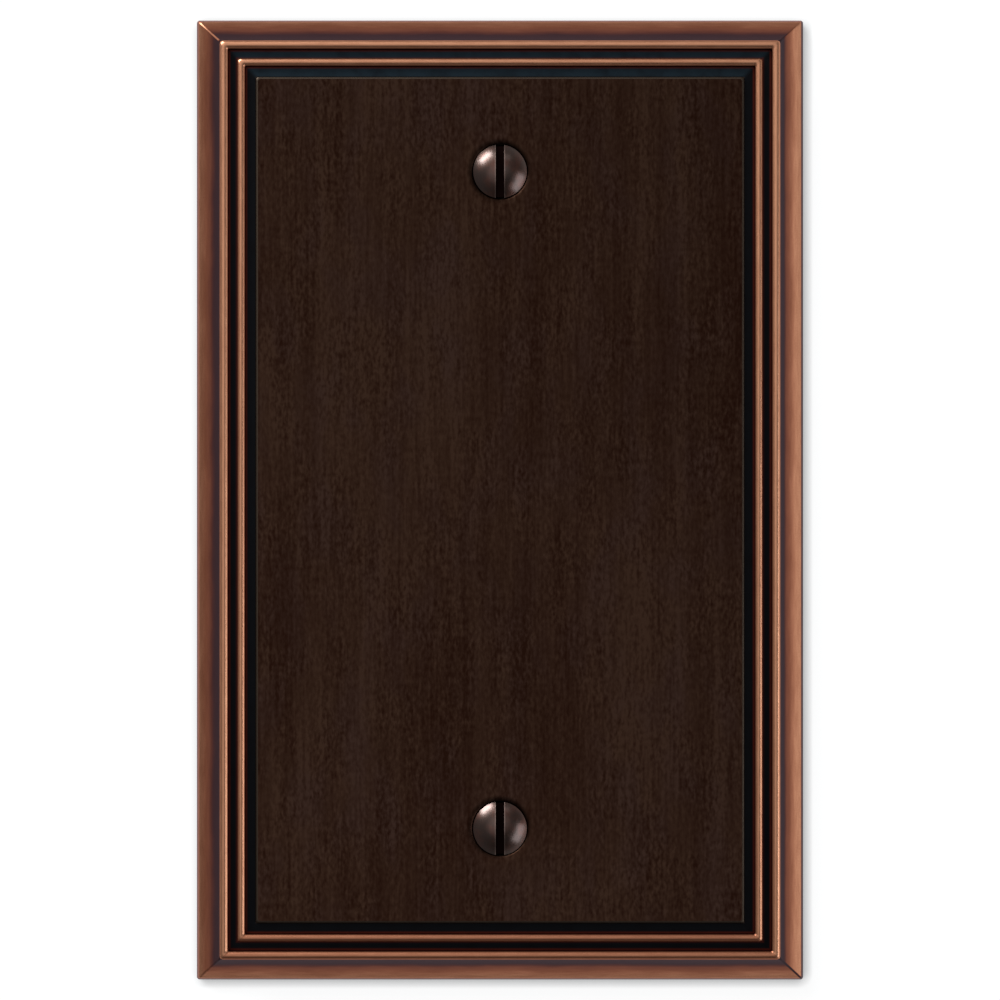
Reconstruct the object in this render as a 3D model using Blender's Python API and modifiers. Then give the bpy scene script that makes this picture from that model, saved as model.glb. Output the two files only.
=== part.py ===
"""A one-gang blank wall plate: a cast plate with a stepped border, the two oval-head screws that fasten it
to a wall box, and the two captive washers that keep the screws in the plate while it is off the wall.

Units are metres. The plate stands upright as it does on a wall: +X right, +Z up, front towards -Y.
The origin lies in the plane of the wall, midway between the two screws.
"""

import math

import bmesh
import bpy

# Outline of the plate, seen from the front.
PLATE_WIDTH = 0.0780
PLATE_HEIGHT = 0.1234
CORNER_RADIUS = 0.00035

# Border, from the outer edge inwards.
RIM_BEVEL_WIDTH = 0.00036
COVE_WIDTH = 0.00308
OUTER_BEAD_WIDTH = 0.00112
OUTER_GROOVE_WIDTH = 0.00110
INNER_BEAD_WIDTH = 0.00103
INNER_GROOVE_WIDTH = 0.00126
MITRE_RADIUS = 0.00022
BEAD_CORNER_RADIUS = 0.00050
BEAD_FILLET_RADIUS = 0.00020
BEAD_DRAFT = 0.00005
BEAD_CROWN_ANGLE = math.radians(52)
ARRIS_RADIUS = 0.00034

# Heights: the rim and the panel above the wall, the grooves below the panel, the rest above the groove floors.
RIM_HEIGHT = 0.0010
RIM_BEVEL_HEIGHT = 0.0009
PANEL_HEIGHT = 0.0054
GROOVE_DEPTH = 0.00055
COVE_SHOULDER = 0.00030
OUTER_BEAD_RISE = 0.00110
INNER_BEAD_RISE = 0.00090
COVE_HOLLOW = 0.40

# Hollow back.
PANEL_THICKNESS = 0.0020
RIM_LAND = 0.0018
HOLLOW_CORNER_RADIUS = 0.0005
BOSS_WALL = 0.0013

# Screws: slotted oval heads on a unified coarse thread of 32 turns to the inch.
SCREW_SPACING = 0.08334
SCREW_LENGTH = 0.0159
HEAD_DIAMETER = 0.0068
HEAD_ANGLE = math.radians(82)
HEAD_EDGE = 0.00012
HEAD_SINK = 0.00010
DOME_HEIGHT = 0.00110
SLOT_WIDTH = 0.00107
SLOT_DEPTH = 0.00140
THREAD_DIAMETER = 0.0035
THREAD_PITCH = 0.0254 / 32
NECK_LENGTH = 0.0009
TIP_CHAMFER = 0.0005
THREAD_RUNOUT = 0.0002

# Captive washers.
WASHER_BAND = 0.0017
WASHER_THICKNESS = 0.0008
WASHER_WALL_GAP = 0.0003

# Clearances.
HEAD_CLEARANCE = 0.0003
HOLE_CLEARANCE = 0.0004
WASHER_CLEARANCE = 0.0003
BOSS_CLEARANCE = 0.0003

# Fineness of the curved surfaces.
CORNER_STEPS = 3
COVE_STEPS = 5
BEAD_STEPS = 6
ARRIS_STEPS = 2
DOME_STEPS = 7
TURN_STEPS = 48
THREAD_STEPS = 16

# Cutters run past what they cut by this much, and joined shapes reach this far into each other.
OVERRUN = 0.0005

# Edges sharper than this stay crisp, and turned points nearer the axis than this meet on it.
CRISP_ANGLE = math.radians(40)
MERGE_DISTANCE = 0.000001

# Unified thread form: flanks at 60 degrees to each other, with the depth and the flat crest in their standard
# proportion to the pitch.
THREAD_DEPTH = 0.6134 * THREAD_PITCH
THREAD_CREST = THREAD_PITCH / 8
THREAD_FLANK_SLOPE = math.tan(math.radians(60) / 2)

# Places that follow from the sizes above.
GROOVE_FLOOR = PANEL_HEIGHT - GROOVE_DEPTH
HOLLOW_CEILING = PANEL_HEIGHT - PANEL_THICKNESS
HEAD_RADIUS = HEAD_DIAMETER / 2
THREAD_RADIUS = THREAD_DIAMETER / 2
CORE_RADIUS = THREAD_RADIUS - THREAD_DEPTH
HEAD_SLOPE = math.tan(HEAD_ANGLE / 2)
CONE_DEPTH = (HEAD_RADIUS - THREAD_RADIUS) / HEAD_SLOPE
NECK_FOOT = -HEAD_EDGE - CONE_DEPTH - NECK_LENGTH
HEAD_HEIGHT = PANEL_HEIGHT - HEAD_SINK
HOLE_RADIUS = THREAD_RADIUS + HOLE_CLEARANCE
SEAT_RADIUS = HEAD_RADIUS + HEAD_CLEARANCE
BOSS_RADIUS = SEAT_RADIUS + BOSS_WALL
WASHER_FRONT = WASHER_WALL_GAP + WASHER_THICKNESS
BOSS_BACK = WASHER_FRONT + BOSS_CLEARANCE


def clear_scene():
    """Remove every object of the scene."""
    for thing in list(bpy.data.objects):
        bpy.data.objects.remove(thing, do_unlink=True)


def new_collection(name):
    """A new collection in the scene."""
    collection = bpy.data.collections.new(name)
    bpy.context.scene.collection.children.link(collection)
    return collection


def finish(name, colour, roughness, metallic):
    """A material with one plain colour."""
    material = bpy.data.materials.new(name)
    material.use_nodes = True
    shader = material.node_tree.nodes["Principled BSDF"]
    shader.inputs["Base Color"].default_value = (*colour, 1.0)
    shader.inputs["Roughness"].default_value = roughness
    shader.inputs["Metallic"].default_value = metallic
    return material


def place(name, mesh, collection, parent, location=(0.0, 0.0, 0.0)):
    """An object of this mesh, set in its parent's frame."""
    thing = bpy.data.objects.new(name, mesh)
    thing.parent = parent
    thing.location = location
    collection.objects.link(thing)
    return thing


def as_cutter(thing):
    """Mark an object that only cuts or joins another."""
    thing.hide_render = True
    thing.display_type = "WIRE"
    return thing


def combine(thing, other, operation):
    """Join another object to this one, or cut it away."""
    modifier = thing.modifiers.new(f"{operation.lower()} {other.name}", "BOOLEAN")
    modifier.operation = operation
    modifier.object = other
    modifier.solver = "EXACT"


def mesh_from(name, bm):
    """A mesh with outward faces from an edit mesh, which is freed."""
    bmesh.ops.recalc_face_normals(bm, faces=bm.faces)
    mesh = bpy.data.meshes.new(name)
    bm.to_mesh(mesh)
    bm.free()
    return mesh


def profile_mesh(name, points, closed=False):
    """A mesh of the edges along a turned profile, given as (radius, height)."""
    bm = bmesh.new()
    corners = [bm.verts.new((radius, 0.0, height)) for radius, height in points]
    for start, end in zip(corners, corners[1:]):
        bm.edges.new((start, end))
    if closed:
        bm.edges.new((corners[-1], corners[0]))
    mesh = bpy.data.meshes.new(name)
    bm.to_mesh(mesh)
    bm.free()
    return mesh


def turn(thing):
    """Turn an object's profile about its own Z axis."""
    modifier = thing.modifiers.new("turned", "SCREW")
    modifier.steps = TURN_STEPS
    modifier.render_steps = TURN_STEPS
    modifier.use_merge_vertices = True
    modifier.merge_threshold = MERGE_DISTANCE
    modifier.use_smooth_shade = True


def rounded_rectangle(half_width, half_height, radius):
    """Points of a rounded rectangle, counter-clockwise from its upper right corner."""
    points = []
    for corner, (side, end) in enumerate(((1, 1), (-1, 1), (-1, -1), (1, -1))):
        for step in range(CORNER_STEPS + 1):
            angle = (corner + step / CORNER_STEPS) * math.pi / 2
            across = side * (half_width - radius) + radius * math.cos(angle)
            up = end * (half_height - radius) + radius * math.sin(angle)
            points.append((across, up))
    return points


def bead(foot, width, outer_base, inner_base, crest):
    """Sections over a bead, from its outer foot up a steep side, over the round crown and down to its inner foot."""
    crown_radius = (width / 2 - BEAD_DRAFT) / math.sin(BEAD_CROWN_ANGLE)
    sections = [(foot, outer_base, BEAD_CORNER_RADIUS)]
    for step in range(BEAD_STEPS + 1):
        angle = (2 * step / BEAD_STEPS - 1) * BEAD_CROWN_ANGLE
        across = width / 2 + crown_radius * math.sin(angle)
        radius = BEAD_CORNER_RADIUS + (BEAD_FILLET_RADIUS - BEAD_CORNER_RADIUS) * across / width
        sections.append((foot + across, crest - crown_radius * (1 - math.cos(angle)), radius))
    sections.append((foot + width, inner_base, BEAD_FILLET_RADIUS))
    return sections


def plate_sections():
    """The plate's skin as (inset, height, corner radius), from the ceiling of the hollow back, out over the rim
    and in across the border to the panel."""
    cove_foot = RIM_BEVEL_WIDTH
    cove_base = RIM_HEIGHT + RIM_BEVEL_HEIGHT
    cove_top = GROOVE_FLOOR + COVE_SHOULDER
    outer_bead = cove_foot + COVE_WIDTH
    outer_groove = outer_bead + OUTER_BEAD_WIDTH
    inner_bead = outer_groove + OUTER_GROOVE_WIDTH
    inner_groove = inner_bead + INNER_BEAD_WIDTH
    panel = inner_groove + INNER_GROOVE_WIDTH

    sections = [
        (outer_groove, HOLLOW_CEILING, HOLLOW_CORNER_RADIUS),
        (RIM_LAND, 0.0, HOLLOW_CORNER_RADIUS),
        (0.0, 0.0, CORNER_RADIUS),
        (0.0, RIM_HEIGHT, CORNER_RADIUS),
    ]
    for step in range(COVE_STEPS):
        along = step / COVE_STEPS
        climb = along * (1 - COVE_HOLLOW) + COVE_HOLLOW * along**2
        height = cove_base + climb * (cove_top - cove_base)
        sections.append((cove_foot + along * COVE_WIDTH, height, MITRE_RADIUS))
    sections += bead(outer_bead, OUTER_BEAD_WIDTH, cove_top, GROOVE_FLOOR, GROOVE_FLOOR + OUTER_BEAD_RISE)
    sections += bead(inner_bead, INNER_BEAD_WIDTH, GROOVE_FLOOR, GROOVE_FLOOR, GROOVE_FLOOR + INNER_BEAD_RISE)
    sections.append((panel, GROOVE_FLOOR, ARRIS_RADIUS))
    for step in range(ARRIS_STEPS + 1):
        angle = step / ARRIS_STEPS * math.pi / 2
        inset = panel + ARRIS_RADIUS * (1 - math.cos(angle))
        height = PANEL_HEIGHT - ARRIS_RADIUS * (1 - math.sin(angle))
        sections.append((inset, height, ARRIS_RADIUS))
    return sections


def plate_mesh():
    """The casting without its bosses and holes, lofted through its sections."""
    bm = bmesh.new()
    rings = []
    for inset, height, radius in plate_sections():
        outline = rounded_rectangle(PLATE_WIDTH / 2 - inset, PLATE_HEIGHT / 2 - inset, radius)
        rings.append([bm.verts.new((across, up, height)) for across, up in outline])
    for outer, inner in zip(rings, rings[1:]):
        for index, corner in enumerate(outer):
            bm.faces.new((corner, outer[index - 1], inner[index - 1], inner[index]))
    bm.faces.new(rings[0])
    bm.faces.new(rings[-1])
    mesh = mesh_from("cover_plate", bm)
    mesh.shade_smooth()
    mesh.set_sharp_from_angle(angle=CRISP_ANGLE)
    return mesh


def boss_mesh():
    """A round boss behind the panel, standing on the boss's own axis."""
    height = HOLLOW_CEILING + OVERRUN - BOSS_BACK
    bm = bmesh.new()
    bmesh.ops.create_cone(
        bm, cap_ends=True, segments=TURN_STEPS, radius1=BOSS_RADIUS, radius2=BOSS_RADIUS, depth=height
    )
    bmesh.ops.translate(bm, verts=bm.verts, vec=(0.0, 0.0, BOSS_BACK + height / 2))
    return mesh_from("screw_boss", bm)


def seat_profile():
    """The countersunk screw hole, from above the panel down to behind the boss."""
    top = PANEL_HEIGHT + OVERRUN
    cone_foot = HEAD_HEIGHT - HEAD_EDGE - (SEAT_RADIUS - HOLE_RADIUS) / HEAD_SLOPE
    return [
        (0.0, top),
        (SEAT_RADIUS, top),
        (SEAT_RADIUS, HEAD_HEIGHT - HEAD_EDGE),
        (HOLE_RADIUS, cone_foot),
        (HOLE_RADIUS, BOSS_BACK - OVERRUN),
        (0.0, BOSS_BACK - OVERRUN),
    ]


def head_profile():
    """The head and neck without the slot, from the crown down. Height zero is the plane of the head's edge."""
    crown_radius = (HEAD_RADIUS**2 + DOME_HEIGHT**2) / (2 * DOME_HEIGHT)
    spread = math.asin(HEAD_RADIUS / crown_radius)
    points = []
    for step in range(DOME_STEPS + 1):
        angle = spread * step / DOME_STEPS
        points.append((crown_radius * math.sin(angle), DOME_HEIGHT - crown_radius * (1 - math.cos(angle))))
    points += [
        (HEAD_RADIUS, -HEAD_EDGE),
        (THREAD_RADIUS, -HEAD_EDGE - CONE_DEPTH),
        (THREAD_RADIUS, NECK_FOOT),
        (0.0, NECK_FOOT),
    ]
    return points


def shank_mesh():
    """The threaded shank, from inside the neck down to the tip: a core with one right-hand ridge wound round it.
    The strip between two turns of the ridge is the core itself, and a short plain stretch ends it above and below."""
    crest = THREAD_CREST / 2
    root = crest + THREAD_DEPTH * THREAD_FLANK_SLOPE
    ridge_profile = (
        (CORE_RADIUS, -root),
        (THREAD_RADIUS, -crest),
        (THREAD_RADIUS, crest),
        (CORE_RADIUS, root),
    )
    core_foot = TIP_CHAMFER - SCREW_LENGTH
    core_top = NECK_FOOT + OVERRUN
    lowest = core_foot + root + THREAD_RUNOUT
    turns = int((NECK_FOOT - root - THREAD_RUNOUT - lowest) / THREAD_PITCH)
    around = THREAD_STEPS
    bm = bmesh.new()

    def point(step, radius, height):
        angle = step / around * 2 * math.pi
        return bm.verts.new((radius * math.cos(angle), radius * math.sin(angle), height))

    def ring(radius, height):
        return [point(step, radius, height) for step in range(around)]

    def wall(upper, lower):
        for step in range(around):
            bm.faces.new((upper[step - 1], upper[step], lower[step], lower[step - 1]))

    def fan(tip, corners):
        for start, end in zip(corners, corners[1:]):
            bm.faces.new((tip, start, end))

    ridge = []
    for step in range(turns * around + 1):
        middle = lowest + step / around * THREAD_PITCH
        ridge.append([point(step, radius, middle + offset) for radius, offset in ridge_profile])
    for before, after in zip(ridge, ridge[1:]):
        for edge in range(len(ridge_profile) - 1):
            bm.faces.new((before[edge], after[edge], after[edge + 1], before[edge + 1]))
    for before, after, above, above_after in zip(ridge, ridge[1:], ridge[around:], ridge[around + 1:]):
        bm.faces.new((before[-1], after[-1], above_after[0], above[0]))
    bm.faces.new(ridge[0])
    bm.faces.new(ridge[-1])

    foot = ring(CORE_RADIUS, core_foot)
    for step in range(around - 1):
        bm.faces.new((foot[step], foot[step + 1], ridge[step + 1][0], ridge[step][0]))
    fan(foot[-1], (foot[0], ridge[0][0], ridge[0][-1], ridge[around][0], ridge[around - 1][0]))
    tip = ring(CORE_RADIUS - TIP_CHAMFER, -SCREW_LENGTH)
    wall(foot, tip)
    bm.faces.new(tip)

    top = ring(CORE_RADIUS, core_top)
    last_turn = ridge[-around - 1:]
    for step in range(1, around):
        bm.faces.new((last_turn[step][-1], last_turn[step + 1][-1], top[(step + 1) % around], top[step]))
    fan(top[1], (top[0], ridge[-1][-1], ridge[-1][0], last_turn[0][-1], last_turn[1][-1]))
    bm.faces.new(top)
    return mesh_from("screw_shank", bm)


def slot_mesh():
    """The straight slot across the head, standing on end as the screws are left after fitting."""
    bm = bmesh.new()
    bmesh.ops.create_cube(bm, size=1.0)
    size = (SLOT_WIDTH, HEAD_DIAMETER + 2 * OVERRUN, SLOT_DEPTH + OVERRUN)
    bmesh.ops.scale(bm, verts=bm.verts, vec=size)
    bmesh.ops.translate(bm, verts=bm.verts, vec=(0.0, 0.0, DOME_HEIGHT + OVERRUN - size[2] / 2))
    return mesh_from("screw_slot", bm)


def washer_profile():
    """A flat ring about the screw, as high as its thickness."""
    inner = THREAD_RADIUS + WASHER_CLEARANCE
    outer = inner + WASHER_BAND
    return [(outer, WASHER_THICKNESS), (outer, 0.0), (inner, 0.0), (inner, WASHER_THICKNESS)]


def main():
    clear_scene()
    parts = new_collection("wall_plate_cover")
    cutters = new_collection("cutters")
    plate_finish = finish("aged bronze", (0.10, 0.055, 0.038), 0.42, 1.0)
    screw_finish = finish("dark bronze", (0.12, 0.075, 0.060), 0.28, 1.0)
    washer_finish = finish("natural nylon", (0.78, 0.76, 0.70), 0.50, 0.0)

    # In the frame of the face, Z points out of the wall and Y points up it.
    face = bpy.data.objects.new("face_frame", None)
    face.rotation_euler = (math.pi / 2, 0.0, 0.0)
    parts.objects.link(face)

    plate = place("cover_plate", plate_mesh(), parts, face)
    plate.data.materials.append(plate_finish)
    shank = shank_mesh()
    for name, side in (("upper", 1), ("lower", -1)):
        axis = bpy.data.objects.new(f"{name}_screw_axis", None)
        axis.parent = face
        axis.location = (0.0, side * SCREW_SPACING / 2, 0.0)
        parts.objects.link(axis)

        boss = as_cutter(place(f"{name}_boss", boss_mesh(), cutters, axis))
        combine(plate, boss, "UNION")
        seat = as_cutter(place(f"{name}_seat", profile_mesh("screw_seat", seat_profile()), cutters, axis))
        turn(seat)
        combine(plate, seat, "DIFFERENCE")

        head_plane = (0.0, 0.0, HEAD_HEIGHT)
        screw = place(f"{name}_screw", profile_mesh("screw", head_profile()), parts, axis, head_plane)
        screw.data.materials.append(screw_finish)
        turn(screw)
        combine(screw, as_cutter(place(f"{name}_shank", shank, cutters, axis, head_plane)), "UNION")
        combine(screw, as_cutter(place(f"{name}_slot", slot_mesh(), cutters, axis, head_plane)), "DIFFERENCE")

        washer_back = (0.0, 0.0, WASHER_WALL_GAP)
        ring = profile_mesh("captive_washer", washer_profile(), closed=True)
        washer = place(f"{name}_washer", ring, parts, axis, washer_back)
        washer.data.materials.append(washer_finish)
        turn(washer)


main()
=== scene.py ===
"""Looks of a one-gang blank wall plate: a cast plate with a rubbed bronze border and a brushed panel, the two
slotted oval-head screws that hold it to a wall box, and the captive washers behind them.

Sizes are in metres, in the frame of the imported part: +X right, +Z up, front towards -Y, with the wall at
y = 0. Noise is read in cells per metre.
"""

from __future__ import annotations

import logging
import math
from collections.abc import Mapping, Sequence
from dataclasses import dataclass, field
from enum import Enum, IntEnum
from typing import Any, Union

import bmesh
import bpy
from mathutils import Matrix, Vector


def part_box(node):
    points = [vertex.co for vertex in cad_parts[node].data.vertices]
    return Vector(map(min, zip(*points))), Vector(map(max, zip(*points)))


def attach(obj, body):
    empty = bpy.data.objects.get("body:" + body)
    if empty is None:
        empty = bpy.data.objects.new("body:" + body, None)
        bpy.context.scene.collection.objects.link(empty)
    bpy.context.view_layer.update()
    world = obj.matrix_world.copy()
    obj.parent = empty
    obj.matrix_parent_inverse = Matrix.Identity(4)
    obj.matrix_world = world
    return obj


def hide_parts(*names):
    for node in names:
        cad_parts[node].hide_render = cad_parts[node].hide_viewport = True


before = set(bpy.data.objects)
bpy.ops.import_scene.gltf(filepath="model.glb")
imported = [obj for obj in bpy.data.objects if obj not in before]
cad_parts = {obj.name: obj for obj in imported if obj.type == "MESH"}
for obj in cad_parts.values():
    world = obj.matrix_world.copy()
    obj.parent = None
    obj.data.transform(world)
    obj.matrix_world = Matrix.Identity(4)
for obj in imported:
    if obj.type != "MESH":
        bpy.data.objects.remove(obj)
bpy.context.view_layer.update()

LOG = logging.getLogger("wall_plate_cover")
MM = 0.001
SCREW_SEED = 20.0
SCREW_SEED_STEP = 7.0

Colour = tuple[float, float, float]
Point = tuple[float, float, float]
Profile = list[tuple[float, float]]
Ring = list[bmesh.types.BMVert]
Number = Union[float, "Signal"]
Levels = list[tuple[float, float]]
Span = tuple[float, float]


def srgb(red: int, green: int, blue: int) -> Colour:
    """Turn a colour as it looks on a screen into the linear light that a shader takes.

    Args:
        red: Red from 0 to 255.
        green: Green from 0 to 255.
        blue: Blue from 0 to 255.

    Returns:
        The three linear values, from 0 to 1.
    """

    def linear(level: int) -> float:
        """One channel's linear value."""
        share = level / 255
        return share / 12.92 if share <= 0.04045 else ((share + 0.055) / 1.055) ** 2.4

    return linear(red), linear(green), linear(blue)


class Signal:
    """A number carried by a shader socket, on which Python's own operators work."""

    def __init__(self, sheet: NodeSheet, socket: bpy.types.NodeSocket) -> None:
        """Wrap a socket of a sheet."""
        self.sheet = sheet
        self.socket = socket

    def _math(self, operation: str, first: Number, second: Number = 0.0) -> Signal:
        """Add a Math node.

        Args:
            operation: The Math node's operation.
            first: Its first number.
            second: Its second number.

        Returns:
            The result.
        """
        node = self.sheet.node("ShaderNodeMath", {"operation": operation}, {0: first, 1: second})
        return Signal(self.sheet, node.outputs[0])

    def __add__(self, other: Number) -> Signal:
        """This number plus another."""
        return self._math("ADD", self, other)

    def __radd__(self, other: Number) -> Signal:
        """Another number plus this."""
        return self._math("ADD", other, self)

    def __sub__(self, other: Number) -> Signal:
        """This number less another."""
        return self._math("SUBTRACT", self, other)

    def __rsub__(self, other: Number) -> Signal:
        """Another number less this."""
        return self._math("SUBTRACT", other, self)

    def __mul__(self, other: Number) -> Signal:
        """This number times another."""
        return self._math("MULTIPLY", self, other)

    def __rmul__(self, other: Number) -> Signal:
        """Another number times this."""
        return self._math("MULTIPLY", other, self)

    def __truediv__(self, other: Number) -> Signal:
        """This number over another."""
        return self._math("DIVIDE", self, other)

    def __rtruediv__(self, other: Number) -> Signal:
        """Another number over this."""
        return self._math("DIVIDE", other, self)

    def __abs__(self) -> Signal:
        """This number without its sign."""
        return self._math("ABSOLUTE", self)

    def least(self, other: Number) -> Signal:
        """The smaller of this number and another."""
        return self._math("MINIMUM", self, other)

    def most(self, other: Number) -> Signal:
        """The larger of this number and another."""
        return self._math("MAXIMUM", self, other)

    def above(self, other: Number) -> Signal:
        """One where this number is larger than another, and zero elsewhere."""
        return self._math("GREATER_THAN", self, other)

    def ease(self, start: float, end: float) -> Signal:
        """Rise smoothly from zero to one.

        Args:
            start: The number at which the rise starts.
            end: The number at which it ends, which may be the smaller one.

        Returns:
            The eased number.
        """
        node = self.sheet.node(
            "ShaderNodeMapRange",
            {"interpolation_type": "SMOOTHSTEP"},
            {"Value": self, "From Min": start, "From Max": end},
        )
        return Signal(self.sheet, node.outputs["Result"])


class NodeSheet:
    """The node tree of one finish, and the ways to add to it."""

    def __init__(self, tree: bpy.types.NodeTree) -> None:
        """Start from an empty tree."""
        self.tree = tree
        tree.nodes.clear()

    def node(
        self,
        kind: str,
        settings: Mapping[str, Any] | None = None,
        sockets: Mapping[int | str, Any] | None = None,
    ) -> bpy.types.Node:
        """Add a node.

        Args:
            kind: The node's type.
            settings: Its properties, with a ramp's stops under "stops". They are set first.
            sockets: Values, signals or sockets for its inputs, by identifier, name or number.

        Returns:
            The new node.
        """
        made = self.tree.nodes.new(kind)
        for name, value in (settings or {}).items():
            if name == "stops":
                self._set_stops(made.color_ramp, value)
            else:
                setattr(made, name, value)
        for key, value in (sockets or {}).items():
            self._feed(made, key, value)
        return made

    def _set_stops(self, ramp: bpy.types.ColorRamp, stops: Sequence[tuple[float, Colour]]) -> None:
        """Give a ramp its stops.

        Args:
            ramp: The ramp.
            stops: Each stop's place, from 0 to 1, and its colour.
        """
        while len(ramp.elements) > 1:
            ramp.elements.remove(ramp.elements[-1])
        for number, (place, colour) in enumerate(stops):
            element = ramp.elements[0] if number == 0 else ramp.elements.new(place)
            element.position = place
            element.color = (*colour, 1.0)

    def _feed(self, node: bpy.types.Node, key: int | str, value: Any) -> None:
        """Link or set one input.

        Args:
            node: The node.
            key: The input's identifier, name or number.
            value: A signal or socket to link, or a number or colour to set.
        """
        found = [socket for socket in node.inputs if socket.identifier == key]
        target = found[0] if found else node.inputs[key]
        if isinstance(value, Signal):
            self.tree.links.new(value.socket, target)
        elif isinstance(value, bpy.types.NodeSocket):
            self.tree.links.new(value, target)
        elif target.type == "RGBA" and len(value) == 3:
            target.default_value = (*value, 1.0)
        else:
            target.default_value = value

    def place(self, kind: str = "Object") -> tuple[Signal, Signal, Signal]:
        """Read where a point is.

        Args:
            kind: The coordinates to read.

        Returns:
            The point's X, Y and Z.
        """
        coordinates = self.node("ShaderNodeTexCoord").outputs[kind]
        parts = self.node("ShaderNodeSeparateXYZ", sockets={"Vector": coordinates})
        x, y, z = (Signal(self, socket) for socket in parts.outputs)
        return x, y, z

    def vector(self, x: Number, y: Number, z: Number) -> bpy.types.NodeSocket:
        """Put three numbers together as a vector."""
        return self.node("ShaderNodeCombineXYZ", sockets={"X": x, "Y": y, "Z": z}).outputs["Vector"]

    def noise(self, at: tuple[Number, Number, Number], detail: float, seed: float) -> Signal:
        """Add soft noise with cells of one unit.

        Args:
            at: The three numbers to read it at.
            detail: How many finer layers it has.
            seed: A number that makes it differ from other noise.

        Returns:
            The noise, which keeps near one half.
        """
        node = self.node(
            "ShaderNodeTexNoise",
            {"noise_dimensions": "4D"},
            {"Vector": self.vector(*at), "W": seed, "Scale": 1.0, "Detail": detail},
        )
        return Signal(self, node.outputs["Fac"])

    def ramp(self, factor: Signal, stops: Sequence[tuple[float, Colour]]) -> bpy.types.NodeSocket:
        """Look a colour up along a ramp.

        Args:
            factor: The place on the ramp, from 0 to 1.
            stops: Each stop's place and colour.

        Returns:
            The colour.
        """
        return self.node("ShaderNodeValToRGB", {"stops": stops}, {"Fac": factor}).outputs["Color"]

    def curve(self, factor: Signal, stops: Levels) -> Signal:
        """Look a number up along a ramp.

        Args:
            factor: The place on the ramp, from 0 to 1.
            stops: Each stop's place and number.

        Returns:
            The number.
        """
        grey = self.ramp(factor, [(place, (level, level, level)) for place, level in stops])
        return Signal(self, grey)

    def mix(self, first: Any, second: Any, factor: Number) -> bpy.types.NodeSocket:
        """Mix two colours.

        Args:
            first: The colour at factor 0.
            second: The colour at factor 1.
            factor: How much of the second there is.

        Returns:
            The mixed colour.
        """
        sockets = {"Factor_Float": factor, "A_Color": first, "B_Color": second}
        mixed = self.node("ShaderNodeMix", {"data_type": "RGBA"}, sockets)
        return next(socket for socket in mixed.outputs if socket.identifier == "Result_Color")

    def shade(self, colour: bpy.types.NodeSocket, level: Signal) -> bpy.types.NodeSocket:
        """Make a colour lighter or darker by a number."""
        node = self.node("ShaderNodeVectorMath", {"operation": "SCALE"}, {0: colour, "Scale": level})
        return node.outputs["Vector"]

    def bump(self, height: Signal, depth: float, strength: float) -> bpy.types.NodeSocket:
        """Turn a relief into a normal.

        Args:
            height: The relief, from 0 to 1.
            depth: The relief's full depth.
            strength: How strongly it shows.

        Returns:
            The normal.
        """
        sockets = {"Height": height, "Distance": depth, "Strength": strength}
        return self.node("ShaderNodeBump", sockets=sockets).outputs["Normal"]

    def surface(self, **sockets: Any) -> None:
        """End the sheet in a principled surface with these sockets, named with underscores for spaces."""
        named = {name.replace("_", " "): value for name, value in sockets.items()}
        shader = self.node("ShaderNodeBsdfPrincipled", sockets=named)
        self.node("ShaderNodeOutputMaterial", sockets={"Surface": shader.outputs["BSDF"]})


def new_material(name: str) -> tuple[bpy.types.Material, NodeSheet]:
    """Make a material with an empty sheet.

    Args:
        name: The finish's name.

    Returns:
        The material and its sheet.
    """
    material = bpy.data.materials.new(name)
    material.use_nodes = True
    return material, NodeSheet(material.node_tree)


class Skin:
    """A closed mesh under construction, from rings of points and the bands and sheets between them."""

    def __init__(self) -> None:
        """Start with no points."""
        self.bm = bmesh.new()

    def ring(self, points: Sequence[Point]) -> Ring:
        """Add a closed row of points."""
        return [self.bm.verts.new(point) for point in points]

    def face(self, corners: Sequence[bmesh.types.BMVert], finish: int = 0) -> None:
        """Add one face.

        Args:
            corners: Its corners in order.
            finish: The number of its material.
        """
        self.bm.faces.new(corners).material_index = finish

    def band(self, first: Ring, second: Ring, finish: int = 0) -> None:
        """Join two rings that have as many points.

        Args:
            first: One ring.
            second: The other.
            finish: The number of the band's material.
        """
        for number in range(len(first)):
            self.face((first[number - 1], first[number], second[number], second[number - 1]), finish)

    def loft(self, rings: Sequence[Ring], finishes: Sequence[int]) -> None:
        """Join each ring to the next.

        Args:
            rings: The rings in order.
            finishes: The number of each band's material.
        """
        for first, second, finish in zip(rings, rings[1:], finishes):
            self.band(first, second, finish)

    def sheet(self, outline: Ring, holes: Sequence[Ring], finish: int = 0) -> None:
        """Fill the flat space between an outline and the holes in it.

        Args:
            outline: The ring round the space.
            holes: The rings that stay open in it.
            finish: The number of the sheet's material.
        """
        edges = []
        for ring in (outline, *holes):
            for number in range(len(ring)):
                ends = (ring[number - 1], ring[number])
                edges.append(self.bm.edges.get(ends) or self.bm.edges.new(ends))
        filled = bmesh.ops.triangle_fill(self.bm, use_beauty=True, edges=edges)
        for made in filled["geom"]:
            if isinstance(made, bmesh.types.BMFace):
                made.material_index = finish

    def mesh(self, name: str, crisp: float = math.radians(32)) -> bpy.types.Mesh:
        """End the building.

        Args:
            name: The mesh's name.
            crisp: Edges sharper than this angle stay crisp.

        Returns:
            The smooth-shaded mesh with its faces outwards.
        """
        bmesh.ops.recalc_face_normals(self.bm, faces=self.bm.faces)
        made = bpy.data.meshes.new(name)
        self.bm.to_mesh(made)
        self.bm.free()
        made.shade_smooth()
        made.set_sharp_from_angle(angle=crisp)
        return made


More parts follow.
